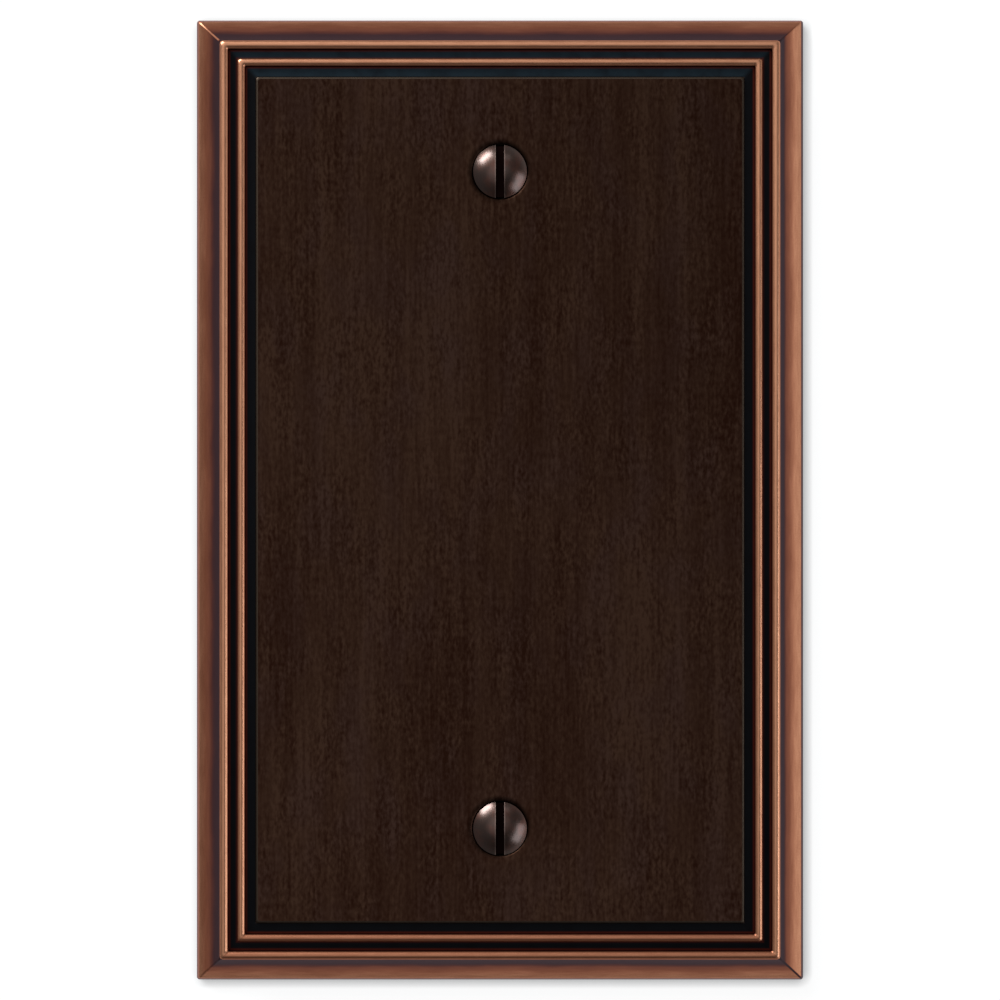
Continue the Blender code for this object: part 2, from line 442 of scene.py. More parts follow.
def circle(radius: float, height: float, steps: int, centre: tuple[float, float] = (0.0, 0.0)) -> list[Point]:
    """Points round an axis that stands out of the wall.

    Args:
        radius: The circle's radius.
        height: How far it stands out of the wall.
        steps: How many points it has.
        centre: The axis's place across and up.

    Returns:
        The points, counter-clockwise as seen from the front.
    """
    points = []
    for step in range(steps):
        angle = step / steps * 2 * math.pi
        points.append((centre[0] + radius * math.cos(angle), -height, centre[1] + radius * math.sin(angle)))
    return points


def arc(centre: tuple[float, float], radius: float, start: float, end: float, steps: int) -> Profile:
    """Points along an arc of a profile.

    Args:
        centre: The arc's centre as distance out and height.
        radius: Its radius.
        start: Its first angle in degrees.
        end: Its last angle in degrees.
        steps: How many pieces it has.

    Returns:
        The points from the first angle to the last.
    """
    points = []
    for step in range(steps + 1):
        angle = math.radians(start + (end - start) * step / steps)
        points.append((centre[0] + radius * math.cos(angle), centre[1] + radius * math.sin(angle)))
    return points


def eased(points: Profile, reach: float, steps: int = 3) -> Profile:
    """Round the corners between a profile's ends.

    Args:
        points: The profile's corners as distance out and height.
        reach: How far from each corner its rounding starts.
        steps: How many pieces each rounding has.

    Returns:
        The profile with its corners rounded.
    """
    found = [points[0]]
    for before, corner, after in zip(points, points[1:], points[2:]):
        middle = Vector(corner)
        start = middle + (Vector(before) - middle).normalized() * reach
        end = middle + (Vector(after) - middle).normalized() * reach
        for step in range(steps + 1):
            share = step / steps
            bent = start * (1 - share) ** 2 + middle * 2 * share * (1 - share) + end * share**2
            found.append((bent.x, bent.y))
    return [*found, points[-1]]


def show(name: str, mesh: bpy.types.Mesh, materials: Sequence[bpy.types.Material]) -> bpy.types.Object:
    """Put a mesh in the scene with its finishes.

    Args:
        name: The piece's name.
        mesh: Its mesh.
        materials: Its finishes, by number.

    Returns:
        The object.
    """
    for material in materials:
        mesh.materials.append(material)
    piece = bpy.data.objects.new(name, mesh)
    bpy.context.scene.collection.objects.link(piece)
    return piece


def even_normals(piece: bpy.types.Object) -> None:
    """Let a piece's larger faces set its shading, so that flat faces look flat."""
    modifier = piece.modifiers.new("even normals", "WEIGHTED_NORMAL")
    modifier.keep_sharp = True


class PlateFinish(IntEnum):
    """The finishes of the plate, by the number of their material."""

    BORDER = 0
    PANEL = 1
    SEAT = 2
    BACK = 3


class ScrewPlace(Enum):
    """The two places on the plate that have a screw and a washer."""

    UPPER = "upper"
    LOWER = "lower"

    @property
    def height(self) -> float:
        """How far up the wall from the origin the screw's axis lies."""
        low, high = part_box(f"{self.value}_screw")
        return (low.z + high.z) / 2


@dataclass
class BorderShape:
    """The stepped border's sizes, from the outer edge inwards and up from the wall."""

    half_width: float
    half_height: float
    rim_bevel: float = 0.36 * MM
    cove: float = 3.08 * MM
    outer_bead: float = 1.12 * MM
    outer_groove: float = 1.10 * MM
    inner_bead: float = 1.03 * MM
    inner_groove: float = 1.26 * MM
    arris: float = 0.34 * MM
    rim_height: float = 1.00 * MM
    rim_bevel_height: float = 0.90 * MM
    rim_ease: float = 0.09 * MM
    panel_height: float = 5.40 * MM
    groove_depth: float = 0.55 * MM
    cove_shoulder: float = 0.30 * MM
    outer_bead_rise: float = 1.10 * MM
    inner_bead_rise: float = 0.90 * MM
    cove_hollow: float = 0.40
    corner: float = 0.35 * MM
    mitre: float = 0.22 * MM
    bead_corner: float = 0.50 * MM
    bead_fillet: float = 0.20 * MM
    bead_draft: float = 0.05 * MM
    bead_crown: float = math.radians(52)
    corner_steps: int = 8
    bead_steps: int = 20
    cove_steps: int = 16
    arris_steps: int = 6

    @property
    def outer_bead_foot(self) -> float:
        """Inset of the outer bead's outer foot."""
        return self.rim_bevel + self.cove

    @property
    def outer_groove_edge(self) -> float:
        """Inset of the outer groove's outer edge."""
        return self.outer_bead_foot + self.outer_bead

    @property
    def inner_bead_foot(self) -> float:
        """Inset of the inner bead's outer foot."""
        return self.outer_groove_edge + self.outer_groove

    @property
    def inner_groove_edge(self) -> float:
        """Inset of the inner groove's outer edge."""
        return self.inner_bead_foot + self.inner_bead

    @property
    def panel_edge(self) -> float:
        """Inset of the panel's wall."""
        return self.inner_groove_edge + self.inner_groove

    @property
    def width(self) -> float:
        """Inset of the flat panel, inside its rounded arris."""
        return self.panel_edge + self.arris

    @property
    def groove_floor(self) -> float:
        """Height of the groove floors."""
        return self.panel_height - self.groove_depth

    def shares(self, levels: Levels) -> Levels:
        """The same levels, at shares of the border's width in place of insets."""
        return [(inset / self.width, level) for inset, level in levels]

    def outline(self, inset: float, height: float, radius: float) -> list[Point]:
        """Points of the plate's rounded outline.

        Args:
            inset: How far in from the outer edge it runs.
            height: How far it stands out of the wall.
            radius: Its corner radius.

        Returns:
            The points, counter-clockwise from the right side of the upper right corner.
        """
        points = []
        for number, (side, end) in enumerate(((1, 1), (-1, 1), (-1, -1), (1, -1))):
            middle = (side * (self.half_width - inset - radius), end * (self.half_height - inset - radius))
            quarter = arc(middle, radius, 90 * number, 90 * number + 90, self.corner_steps)
            points += [(across, -height, up) for across, up in quarter]
        return points

    def bead(self, foot: float, width: float, bases: tuple[float, float], crest: float) -> list[Point]:
        """Sections over a rounded bead.

        Args:
            foot: Inset of its outer foot.
            width: Its width.
            bases: Heights of its outer and inner feet.
            crest: Height of its crest.

        Returns:
            Inset, height and corner radius of each section, from the outer foot to the inner.
        """
        crown_radius = (width / 2 - self.bead_draft) / math.sin(self.bead_crown)
        sections = [(foot, bases[0], self.bead_corner)]
        for step in range(self.bead_steps + 1):
            angle = (2 * step / self.bead_steps - 1) * self.bead_crown
            across = width / 2 + crown_radius * math.sin(angle)
            radius = self.bead_corner + (self.bead_fillet - self.bead_corner) * across / width
            sections.append((foot + across, crest - crown_radius * (1 - math.cos(angle)), radius))
        sections.append((foot + width, bases[1], self.bead_fillet))
        return sections

    def sections(self) -> list[Point]:
        """The border's skin from the rim's wall in to the flat panel, as inset, height and corner radius."""
        base = self.rim_height + self.rim_bevel_height
        top = self.groove_floor + self.cove_shoulder
        cove: Profile = []
        for step in range(self.cove_steps):
            along = step / self.cove_steps
            climb = along * (1 - self.cove_hollow) + self.cove_hollow * along**2
            cove.append((self.rim_bevel + along * self.cove, base + climb * (top - base)))
        rim = eased([(0.0, 0.0), (0.0, self.rim_height), *cove[:2]], self.rim_ease)
        found = []
        for inset, height in rim[1:-1]:
            turned = min(inset / self.rim_bevel, 1.0)
            found.append((inset, height, self.corner + (self.mitre - self.corner) * turned))
        found += [(inset, height, self.mitre) for inset, height in cove[1:]]
        floor = self.groove_floor
        beads = (
            (self.outer_bead_foot, self.outer_bead, (top, floor), floor + self.outer_bead_rise),
            (self.inner_bead_foot, self.inner_bead, (floor, floor), floor + self.inner_bead_rise),
        )
        for bead in beads:
            found += self.bead(*bead)
        found.append((self.panel_edge, floor, self.arris))
        turn = arc((self.width, self.panel_height - self.arris), self.arris, 180, 90, self.arris_steps)
        found += [(inset, height, self.arris) for inset, height in turn]
        return found


@dataclass(frozen=True)
class RubbedBronze:
    """Patinated bronze, rubbed back to copper on the beads and towards the outer edge, with painted
    highlights, shade and reflections laid over it.
    """

    oxide: Colour = srgb(17, 15, 16)
    plum: Colour = srgb(46, 30, 34)
    # Painted reflection: a grey sheen.
    painted_grey_sheen: Colour = srgb(50, 42, 46)
    dark_red: Colour = srgb(84, 45, 35)
    red_brown: Colour = srgb(128, 77, 56)
    copper: Colour = srgb(170, 113, 86)
    bright_copper: Colour = srgb(201, 143, 111)
    # Cool oxide, which also stands in for a painted reflection in the top grooves.
    cool_oxide_and_reflection: Colour = srgb(32, 42, 49)
    # Red oxide, which also stands in for the painted red reflection of copper walls.
    red_oxide_and_reflection: Colour = srgb(96, 34, 20)
    edge_tint: Colour = (0.85, 0.72, 0.74)
    left_margin: float = 0.30 * MM
    right_gain: float = 0.42 * MM
    top_margin: float = 0.44 * MM
    foot_margin: float = 0.14 * MM
    # Level kept on the bottom end's beads: painted shade.
    lower_beads_painted_level: float = 0.80
    # Painted highlight colour of the panel's arris.
    arris: Colour = srgb(66, 58, 48)
    wander_reach: float = 0.90 * MM
    edge_fade: Span = (0.40 * MM, 0.90 * MM)
    cove_fade: Span = (2.30 * MM, 3.20 * MM)
    mitre_fade: Span = (0.10 * MM, 0.24 * MM)
    bevel_wear: float = 0.55
    # Painted shade and painted highlight along the mitres of the cove.
    mitre_shadow: float = 0.75
    mitre_shine: float = 0.82
    streak_depth: float = 0.34
    grain_depth: float = 0.16
    dull: float = 0.44
    polish: float = 0.12
    relief: float = 0.02 * MM
    relief_strength: float = 0.13

    def rubbing(self, border: BorderShape) -> Levels:
        """How bare the metal is rubbed at each inset.

        Args:
            border: The border's shape.

        Returns:
            Share of the border's width and bareness, at each change.
        """
        side, crown = 0.02 * MM, 0.10 * MM
        outer, inner = border.outer_bead_foot, border.inner_bead_foot
        beads = (
            (outer, border.outer_groove_edge, inner, (0.86, 1.0, 0.88)),
            (inner, border.inner_groove_edge, border.panel_edge, (0.84, 0.96, 0.86)),
        )
        levels = [
            (0.0, 0.26),
            (border.rim_bevel - 0.08 * MM, 0.28),
            (border.rim_bevel + 0.06 * MM, 0.90),
            (0.85 * MM, 0.86),
            (1.20 * MM, 0.70),
            (1.55 * MM, 0.585),
            (1.85 * MM, 0.505),
            (2.15 * MM, 0.44),
            (2.50 * MM, 0.32),
            (2.85 * MM, 0.16),
            (outer - side, 0.08),
        ]
        for foot, end, groove_end, (near, crest, far) in beads:
            levels += [
                (foot + side, 0.30),
                (foot + crown, near),
                ((foot + end) / 2, crest),
                (end - crown, far),
                (end - side, 0.36),
                (end + side, 0.0),
                (groove_end - side, 0.0),
            ]
        levels += [(border.panel_edge, 0.10), (border.width, 0.20)]
        return border.shares(levels)

    def red_foot_levels(self, border: BorderShape) -> Levels:
        """How much red lies at each inset: along the feet of the beads, in the grooves, as red oxide and a
        painted reflection of the copper walls.

        Args:
            border: The border's shape.

        Returns:
            Share of the border's width and amount, at each change.
        """
        edge, fade = 0.01 * MM, 0.28 * MM
        groove, inner, last = border.outer_groove_edge, border.inner_bead_foot, border.inner_groove_edge
        levels = [
            (0.0, 0.0),
            (groove - edge, 0.0),
            (groove, 1.0),
            (groove + fade, 0.0),
            (inner - fade, 0.0),
            (inner, 0.6),
            (inner + edge, 0.0),
            (last - edge, 0.0),
            (last, 1.0),
            (last + fade, 0.0),
            (border.width, 0.0),
        ]
        return border.shares(levels)

    def material(self, border: BorderShape) -> bpy.types.Material:
        """Make the finish.

        Args:
            border: The border's shape, which the rubbing follows.

        Returns:
            The material.
        """
        material, sheet = new_material("rubbed bronze")
        x, _, z = sheet.place()
        from_side = border.half_width - abs(x)
        from_end = border.half_height - abs(z)
        inset = from_side.least(from_end)
        on_side = from_end.above(from_side)
        run = x + (z - x) * on_side

        cloud = sheet.noise((x * 420, 0.0, z * 420), 3.0, 1.0)
        wander = sheet.noise((inset * 260, 0.0, run * 120), 3.0, 1.5)
        streak = sheet.noise((inset * 2600, 0.0, run * 330), 3.0, 2.0)
        grain = sheet.noise((x * 5200, 0.0, z * 5200), 1.0, 3.0)

        in_cove = 1 - inset.ease(*self.cove_fade)
        off_edge = inset.ease(*self.edge_fade)
        on_right, on_top = x.above(0.0), z.above(0.0)
        side_margin = self.left_margin * (1 - on_right) - self.right_gain * on_right * off_edge
        end_margin = self.foot_margin + (self.top_margin - self.foot_margin) * on_top
        margin = end_margin + (side_margin - end_margin) * on_side
        ragged = inset + (margin + (wander - 0.5) * self.wander_reach * off_edge) * in_cove
        ragged = ragged.most(inset.least(border.rim_bevel + 0.10 * MM))
        off_bevel = inset.ease(border.rim_bevel - 0.12 * MM, border.rim_bevel + 0.08 * MM)
        worn_bevel = self.bevel_wear + (1 - self.bevel_wear) * off_bevel
        wear_and_painted_light = sheet.curve(ragged / border.width, self.rubbing(border)) * worn_bevel

        off_mitre = abs(from_side - from_end).ease(*self.mitre_fade)
        past_cove = inset.ease(border.outer_bead_foot - 0.3 * MM, border.outer_bead_foot)
        on_mitre = (1 - off_mitre) * (1 - past_cove)
        # Painted highlight along the upper left mitres and painted shade along the lower right ones, laid
        # into the wear.
        painted_mitre_shade = on_mitre * (1 - on_top) * on_right
        painted_mitre_highlight = on_mitre * on_top * (1 - on_right)
        wear_and_painted_light = (wear_and_painted_light * (1 - self.mitre_shadow * painted_mitre_shade)).most(self.mitre_shine * painted_mitre_highlight)
        on_bead = inset.above(border.outer_bead_foot)
        # Painted shade: the beads along the bottom end are left darker.
        lower_beads_painted_shade = (1 - on_top) * (1 - on_side) * on_bead
        wear_and_painted_light = wear_and_painted_light * (1 - (1 - self.lower_beads_painted_level) * lower_beads_painted_shade)
        # From here on the bareness also carries the painted highlight and shade above.
        bare = wear_and_painted_light + (streak - 0.5) * self.streak_depth * wear_and_painted_light
        bare = bare + (grain - 0.5) * self.grain_depth * wear_and_painted_light
        scale = [
            (0.0, self.oxide),
            (0.14, self.plum),
            (0.32, self.dark_red),
            (0.56, self.red_brown),
            (0.80, self.copper),
            (1.0, self.bright_copper),
        ]
        colour = sheet.ramp(bare, scale)
        # Painted reflection: a grey sheen on the inner cove along the right side and the bottom end.
        in_shade = on_right * on_side + (1 - on_top) * (1 - on_side)
        painted_sheen_share = in_shade * (1 - on_bead) * (1 - wear_and_painted_light.ease(0.12, 0.42))
        colour = sheet.mix(colour, self.painted_grey_sheen, painted_sheen_share)
        in_groove = 1 - wear_and_painted_light.ease(0.0, 0.06)
        # Cool oxide in the grooves everywhere, laid on far more along the top end as a painted reflection of
        # light from above.
        cool_oxide_and_reflection_share = 0.12 + 0.88 * on_top * (from_side - from_end).ease(-0.4 * MM, 0.6 * MM)
        cool_oxide_and_reflection_share = cool_oxide_and_reflection_share * (0.55 + 0.45 * cloud.ease(0.25, 0.60))
        colour = sheet.mix(colour, self.cool_oxide_and_reflection, in_groove * cool_oxide_and_reflection_share)
        # Red oxide along the bead feet, also a painted reflection of the copper walls beside them.
        red_foot_share = sheet.curve(inset / border.width, self.red_foot_levels(border))
        colour = sheet.mix(colour, self.red_oxide_and_reflection, red_foot_share * (0.5 + 0.5 * streak))
        # Painted highlight: a paler grey along the panel's rounded arris.
        arris_highlight_share = inset.ease(border.panel_edge - 0.02 * MM, border.panel_edge + 0.05 * MM)
        colour = sheet.mix(colour, self.arris, arris_highlight_share * (0.55 + 0.45 * streak))

        sheet.surface(
            Base_Color=colour,
            Metallic=1.0,
            Roughness=self.dull - self.polish * bare.ease(0.15, 0.85) + (grain - 0.5) * 0.12,
            Normal=sheet.bump(streak * 0.6 + grain * 0.4, self.relief, self.relief_strength),
            Specular_Tint=self.edge_tint,
        )
        return material


@dataclass(frozen=True)
class BrushedPanel:
    """Dark bronze brushed up and down: short grain that comes and goes, longer streaks and soft bands, with
    painted shade round the screw seats.
    """

    dark: Colour = srgb(39, 21, 14)
    pale: Colour = srgb(62, 43, 33)
    cool_pale: Colour = srgb(61, 43, 36)
    paler_below: float = 4.5
    fine_depth: float = 1.65
    short_depth: float = 1.0
    long_depth: float = 0.9
    band_depth: float = 1.05
    cloud_depth: float = 1.0
    lift: float = 0.34
    roughness: float = 0.42
    relief: float = 0.012 * MM
    relief_strength: float = 0.30

    def material(self, screw_height: float, seat: Span) -> bpy.types.Material:
        """Make the finish.

        Args:
            screw_height: How far the screws lie above and below the middle.
            seat: Inner and outer radius of the rolled edge round each screw, where the panel is darkened as
                painted shade.

        Returns:
            The material.
        """
        material, sheet = new_material("brushed dark bronze")
        x, _, z = sheet.place()
        from_screw = abs(z) - screw_height
        # Painted shade round each screw seat.
        clear_of_seat_shade = (x * x + from_screw * from_screw).ease(seat[0] ** 2, seat[1] ** 2)
        fine = sheet.noise((x * 2600, 0.0, z * 1330), 1.0, 4.0)
        short = sheet.noise((x * 2300, 0.0, z * 560), 1.0, 4.5)
        long = sheet.noise((x * 2100, 0.0, z * 70), 1.0, 5.0)
        band = sheet.noise((x * 420, 0.0, z * 22), 2.0, 6.0)
        cloud = sheet.noise((x * 42, 0.0, z * 20), 1.0, 7.0)
        patch = sheet.noise((x * 200, 0.0, z * 90), 2.0, 8.0)
        bite = sheet.noise((x * 330, 0.0, z * 150), 2.0, 9.5)

        grain = (fine - 0.5) * self.fine_depth + (short - 0.5) * self.short_depth
        uneven = grain * (0.55 + 0.90 * bite.ease(0.30, 0.70)) + (long - 0.5) * self.long_depth
        uneven = uneven + (band - 0.5) * self.band_depth + (cloud - 0.5) * self.cloud_depth
        level = 0.5 + uneven + self.lift * uneven * uneven
        pale = sheet.mix(self.pale, self.cool_pale, patch.ease(0.42, 0.66))
        colour = sheet.mix(self.dark, pale, level)
        # Painted shade round the seats; the panel is also made paler towards the bottom.
        seat_shade_and_lower_paling = (0.5 + 0.5 * clear_of_seat_shade) / (1 + self.paler_below * z)
        sheet.surface(
            Base_Color=sheet.shade(colour, seat_shade_and_lower_paling),
            Metallic=1.0,
            Roughness=self.roughness + (fine - 0.5) * 0.20 + (cloud - 0.5) * 0.10,
            Normal=sheet.bump(fine * 0.5 + long * 0.5, self.relief, self.relief_strength),
        )
        return material


@dataclass(frozen=True)
class OxideSeat:
    """Near-black oxide in the countersunk screw seats."""

    oxide: Colour = srgb(24, 19, 18)
    brown: Colour = srgb(64, 46, 38)
    roughness: float = 0.42
    relief: float = 0.01 * MM
    relief_strength: float = 0.30

    def material(self) -> bpy.types.Material:
        """Make the finish.

        Returns:
            The material.
        """
        material, sheet = new_material("oxide seat")
        x, y, z = sheet.place()
        cloud = sheet.noise((x * 1400, y * 1400, z * 1400), 2.0, 8.5)
        grain = sheet.noise((x * 6000, y * 6000, z * 6000), 1.0, 9.0)
        sheet.surface(
            Base_Color=sheet.mix(self.oxide, self.brown, cloud.ease(0.45, 0.75)),
            Metallic=1.0,
            Roughness=self.roughness + (grain - 0.5) * 0.2,
            Normal=sheet.bump(grain, self.relief, self.relief_strength),
        )
        return material


@dataclass(frozen=True)
class CastBack:
    """The unrubbed back of the casting: a thin dark wash over a sand-fine cast skin, scuffed on the rim."""

    wash: Colour = srgb(62, 46, 38)
    thin: Colour = srgb(96, 76, 62)
    scuff: Colour = srgb(124, 102, 84)
    rim_fade: Span = (-0.25 * MM, -0.02 * MM)
    metal: float = 0.75
    roughness: float = 0.58
    relief: float = 0.06 * MM
    relief_strength: float = 0.45

    def material(self) -> bpy.types.Material:
        """Make the finish.

        Returns:
            The material.
        """
        material, sheet = new_material("cast back")
        x, y, z = sheet.place()
        cloud = sheet.noise((x * 160, y * 160, z * 160), 4.0, 10.0)
        skin = sheet.noise((x * 2600, y * 2600, z * 2600), 3.0, 11.0)
        rub = sheet.noise((x * 1500, y * 1500, z * 1500), 4.0, 12.0)
        on_rim = y.ease(*self.rim_fade)
        colour = sheet.mix(self.wash, self.thin, cloud.ease(0.35, 0.75))
        colour = sheet.mix(colour, self.scuff, on_rim * (0.25 + 0.55 * rub.ease(0.38, 0.74)))
        sheet.surface(
            Base_Color=sheet.shade(colour, 0.75 + 0.5 * skin),
            Metallic=self.metal,
            Roughness=self.roughness + (cloud - 0.5) * 0.2 - 0.12 * on_rim,
            Normal=sheet.bump(skin * 0.7 + cloud * 0.3, self.relief, self.relief_strength),
        )
        return material


@dataclass(frozen=True)
class ScrewBronze:
    """Dark bronze screw metal under clear lacquer, worn bright along the slot and dull in the thread, with
    painted shade in the slot.
    """

    bronze: Colour = srgb(62, 39, 29)
    brown: Colour = srgb(76, 40, 26)
    worn: Colour = srgb(134, 110, 101)
    # Near-black for painted shade in the slot, and darker grime below the head's edge.
    grime_and_slot_shade: Colour = srgb(18, 8, 7)
    lip_wear: float = 0.80
    lip_fade: Span = (0.05 * MM, 0.16 * MM)
    roughness: float = 0.30
    bare_dull: float = 0.16
    lacquer_roughness: float = 0.24
    relief: float = 0.008 * MM
    relief_strength: float = 0.25

    def material(self, screw: ScrewShape, seed: float) -> bpy.types.Material:
        """Make the finish.

        Args:
            screw: The screw's shape, whose slot and head the wear follows.
            seed: A number that sets this screw's marks apart.

        Returns:
            The material.
        """
        material, sheet = new_material("screw bronze")
        x, y, z = sheet.place()
        out = -1.0 * y
        half = screw.slot_width / 2
        cloud = sheet.noise((x * 620, y * 620, z * 620), 3.0, seed)
        scratch = sheet.noise((x * 4200, y * 1600, z * 800), 2.0, seed + 0.5)
        on_head = out.ease(screw.slot_floor - 0.1 * MM, screw.slot_floor)
        in_slot = (1 - abs(x).ease(half, half + 0.02 * MM)) * on_head
        at_slot = (1 - (abs(x) - half).ease(*self.lip_fade)) * on_head
        sunk = 1 - out.ease(screw.edge_height - 0.10 * MM, screw.edge_height + 0.05 * MM)
        bare = (in_slot + sunk).least(1.0)

        colour = sheet.mix(self.bronze, self.brown, cloud.ease(0.40, 0.62))
        colour = sheet.shade(colour, 0.70 + 0.60 * scratch)
        colour = sheet.mix(colour, self.worn, at_slot * self.lip_wear)
        # Painted shade in the slot, and darker grime below the head's edge.
        colour = sheet.mix(colour, self.grime_and_slot_shade, (in_slot + sunk * 0.6).least(1.0))
        sheet.surface(
            Base_Color=colour,
            Metallic=1.0,
            Roughness=self.roughness + (cloud - 0.5) * 0.16 + self.bare_dull * bare,
            Normal=sheet.bump(scratch, self.relief, self.relief_strength),
            Coat_Weight=1.0 - bare,
            Coat_Roughness=self.lacquer_roughness,
        )
        return material


@dataclass(frozen=True)
class NaturalNylon:
    """Uncoloured nylon, waxy and slightly see-through at its edges."""

    milk: Colour = (0.78, 0.76, 0.70)
    warm: Colour = (0.70, 0.66, 0.57)
    roughness: float = 0.46
    glow: float = 0.2
    glow_depth: float = 0.60 * MM
    relief: float = 0.02 * MM
    relief_strength: float = 0.20

    def material(self) -> bpy.types.Material:
        """Make the finish.

        Returns:
            The material.
        """
        material, sheet = new_material("natural nylon")
        x, y, z = sheet.place()
        cloud = sheet.noise((x * 500, y * 500, z * 500), 3.0, 13.0)
        grain = sheet.noise((x * 3000, y * 3000, z * 3000), 2.0, 14.0)
        sheet.surface(
            Base_Color=sheet.mix(self.milk, self.warm, cloud.ease(0.35, 0.70)),
            Roughness=self.roughness + (grain - 0.5) * 0.18,
            Normal=sheet.bump(grain, self.relief, self.relief_strength),
            Subsurface_Weight=self.glow,
            Subsurface_Scale=self.glow_depth,
        )
        return material


@dataclass
class ScrewShape:
    """Sizes of a slotted oval-head screw, with heights from the wall outwards."""

    edge_height: float = 5.30 * MM
    head_radius: float = 3.40 * MM
    head_edge: float = 0.12 * MM
    head_slope: float = math.tan(math.radians(41))
    dome_height: float = 1.0985 * MM
    slot_width: float = 1.07 * MM
    slot_depth: float = 1.40 * MM
    slot_overrun: float = 1.2
    slot_bevel: float = 0.055 * MM
    slot_bevel_steps: int = 2
    thread_radius: float = 1.75 * MM
    pitch: float = 25.4 * MM / 32
    thread_share: float = 0.6134
    crest_share: float = 1 / 16
    flank: float = math.radians(30)
    neck: float = 0.90 * MM
    length: float = 15.90 * MM
    tip_chamfer: float = 0.50 * MM
    runout: float = 0.20 * MM
    steps: int = 96
    dome_steps: int = 28
    lip_angle: float = math.radians(30)
    crisp: float = math.radians(38)

    @property
    def thread_depth(self) -> float:
        """Depth of the thread, in its standard proportion to the pitch."""
        return self.thread_share * self.pitch

    @property
    def core_radius(self) -> float:
        """Radius at the thread's root."""
        return self.thread_radius - self.thread_depth

    @property
    def slot_floor(self) -> float:
        """Height of the slot's floor."""
        return self.edge_height + self.dome_height - self.slot_depth

    @property
    def neck_foot(self) -> float:
        """Height of the plain neck's end, below the head's edge."""
        cone = (self.head_radius - self.thread_radius) / self.head_slope
        return self.edge_height - self.head_edge - cone - self.neck

    def head_profile(self) -> Profile:
        """The head and neck from just off the crown to the top of the thread's core, as radius and height."""
        crown = (self.head_radius**2 + self.dome_height**2) / (2 * self.dome_height)
        middle = (0.0, self.edge_height + self.dome_height - crown)
        spread = math.degrees(math.asin(self.head_radius / crown))
        dome = arc(middle, crown, 90 - spread / self.dome_steps, 90 - spread, self.dome_steps - 1)
        cone_foot = self.neck_foot + self.neck
        return dome + [
            (self.head_radius, self.edge_height - self.head_edge),
            (self.thread_radius, cone_foot),
            (self.thread_radius, self.neck_foot),
            (self.core_radius, self.neck_foot),
        ]


